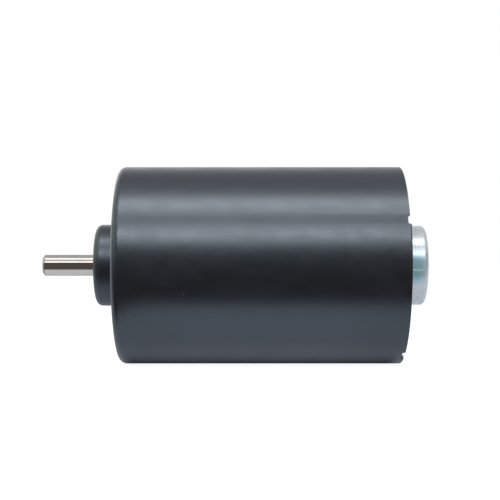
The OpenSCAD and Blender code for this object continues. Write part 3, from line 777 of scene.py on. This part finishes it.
def floor_material():
    """White with a soft shadow to the camera, dark in front to mirrors with a painted shadow along the can,
    plain matt to other rays.
    """
    material = bpy.data.materials.new("floor_white")
    material.use_nodes = True
    material.node_tree.nodes.clear()
    t = NodeTree(material.node_tree)
    matt = t.node("ShaderNodeBsdfDiffuse", {"Color": FLOOR_GREY}).outputs[0]
    glow = t.node("ShaderNodeEmission", {"Strength": FLOOR_GLOW}).outputs[0]
    seen = t.mix_shader(FLOOR_GLOW_SHARE, matt, glow)

    x, y = t.axes(t.coordinates("Object"))[:2]
    from_middle = t.math("ABSOLUTE", x)
    pale = t.mix_color(t.smooth(from_middle, *ENDS_FADE), FLOOR_MIRRORED, FLOOR_MIRRORED_ENDS)
    dark_from = t.smooth(x, *SHAFT_SIDE_FADE, FLOOR_DARK_BESIDE_SHAFT, FLOOR_DARK_UNDER_CAN)
    in_front = t.smooth(t.math("SUBTRACT", y, dark_from), 0, -FLOOR_DARK_WIDTH)
    shade = t.mix_color(in_front, pale, DARK_FRONT)
    contact_shadow = t.math("MULTIPLY", t.smooth(t.math("ABSOLUTE", y), *CONTACT_FADE),
                     t.smooth(from_middle, *CONTACT_END_FADE))
    mirrored_matt = t.node("ShaderNodeBsdfDiffuse", {"Color": shade}).outputs[0]
    # A painted shadow in the glow that mirrors see, along the line where the can touches the floor
    mirrored_color = t.mix_color(contact_shadow, shade, CONTACT_PAINTED_SHADOW)
    mirrored_glow = t.node("ShaderNodeEmission", {"Color": mirrored_color}).outputs[0]
    mirrored = t.mix_shader(FLOOR_MIRRORED_GLOW_SHARE, mirrored_matt, mirrored_glow)

    path = t.node("ShaderNodeLightPath").outputs
    unseen = t.mix_shader(path["Is Glossy Ray"], matt, mirrored)
    t.node("ShaderNodeOutputMaterial", {"Surface": t.mix_shader(path["Is Camera Ray"], unseen, seen)})
    return material


def make_floor():
    mesh = bpy.data.meshes.new("floor")
    shape = bmesh.new()
    bmesh.ops.create_grid(shape, x_segments=1, y_segments=1, size=FLOOR_SIZE / 2)
    shape.to_mesh(mesh)
    shape.free()
    floor = link_object("floor", mesh)
    floor.location = (CAN_HALF_LEN, 0, can_low.z)
    mesh.materials.append(floor_material())


# The surroundings, by direction: X, Y and Z go from -1 to 1, and the camera looks towards +Y
FRONT_OVERHEAD = (0.60, 0.61, 0.63)
FRONT_FADE_Z = (0.45, 0.58)
BACK_LEFT = (1.55, 1.55, 1.5)
BACK_RIGHT = (0.5, 0.5, 0.49)
BACK_FADE_X = (-0.15, 0.4)
BACK_OVERHEAD = (0.47, 0.48, 0.50)
BACK_FADE_Z = (0.30, 0.75)
FRONT_TO_BACK_Y = (0.0, 0.45)
# A pale card beside the shaft's end of the motor shows in the can's front corner
CARD = (1.02, 1.10, 1.07)
CARD_FADE_X = (-0.35, -0.7)
CARD_FADE_Z = (-0.15, 0.45)


def make_world():
    """White to the camera. Mirrors see a pale wall behind, grey overhead, dark in front, a card at -X."""
    world = bpy.data.worlds.new("studio")
    bpy.context.scene.world = world
    world.use_nodes = True
    world.node_tree.nodes.clear()
    t = NodeTree(world.node_tree)
    x, y, z = t.axes(t.coordinates("Generated"))
    front = t.mix_color(t.smooth(z, *FRONT_FADE_Z), DARK_FRONT, FRONT_OVERHEAD)
    wall = t.mix_color(t.smooth(x, *BACK_FADE_X), BACK_LEFT, BACK_RIGHT)
    back = t.mix_color(t.smooth(z, *BACK_FADE_Z), wall, BACK_OVERHEAD)
    around = t.mix_color(t.smooth(y, *FRONT_TO_BACK_Y), front, back)
    on_card = t.math("MULTIPLY", t.smooth(x, *CARD_FADE_X), t.smooth(z, *CARD_FADE_Z))
    around = t.mix_color(on_card, around, CARD)
    light = t.node("ShaderNodeBackground", {"Color": around}).outputs[0]
    white = t.node("ShaderNodeBackground", {"Color": (1, 1, 1)}).outputs[0]
    to_camera = t.node("ShaderNodeLightPath").outputs["Is Camera Ray"]
    t.node("ShaderNodeOutputWorld", {"Surface": t.mix_shader(to_camera, light, white)})


SOFTBOX_X = CAMERA_X - 15 * MM
SOFTBOX_DISTANCE = 0.8
SOFTBOX_LENGTH = 0.52
# By name: elevation and height in degrees, as seen from the motor's axis, then radiance and colour
SOFTBOXES = {
    "top_softbox": (71.7, 17, 5.0, (0.97, 0.99, 1.0)),
    "front_softbox": (35.2, 12.7, 6.5, (0.93, 0.96, 1.0)),
}


# Bare steel mirrors the softboxes and would clip to white, so the ones that light the shaft are dimmer
SHAFT_LIGHT_SHARE = 0.25


def light_group(name, state):
    """The receivers of a lamp: only the shaft, or everything but the shaft."""
    group = bpy.data.collections.new(name)
    group.objects.link(nodes["shaft"])
    group.collection_objects[0].light_linking.link_state = state
    return group


def make_softbox(name, receivers, elevation, height_angle, radiance, color):
    """A lamp that points at the motor's axis from the camera's side, long in X."""
    height = 2 * SOFTBOX_DISTANCE * math.tan(math.radians(height_angle / 2))
    data = bpy.data.lights.new(name, "AREA")
    data.shape = "RECTANGLE"
    data.size = SOFTBOX_LENGTH
    data.size_y = height
    data.color = color
    data.energy = radiance * math.pi * SOFTBOX_LENGTH * height
    lamp = bpy.data.objects.new(name, data)
    angle = math.radians(elevation)
    lamp.location = (SOFTBOX_X, -SOFTBOX_DISTANCE * math.cos(angle), SOFTBOX_DISTANCE * math.sin(angle))
    lamp.rotation_euler = (math.radians(90) - angle, 0, 0)
    lamp.visible_camera = False
    lamp.light_linking.receiver_collection = receivers
    bpy.context.scene.collection.objects.link(lamp)


make_floor()
make_world()
all_but_shaft = light_group("all_but_shaft", "EXCLUDE")
shaft_only = light_group("shaft_only", "INCLUDE")
for name, (elevation, height_angle, radiance, color) in SOFTBOXES.items():
    make_softbox(name, all_but_shaft, elevation, height_angle, radiance, color)
    make_softbox(name + "_on_shaft", shaft_only, elevation, height_angle, radiance * SHAFT_LIGHT_SHARE, color)
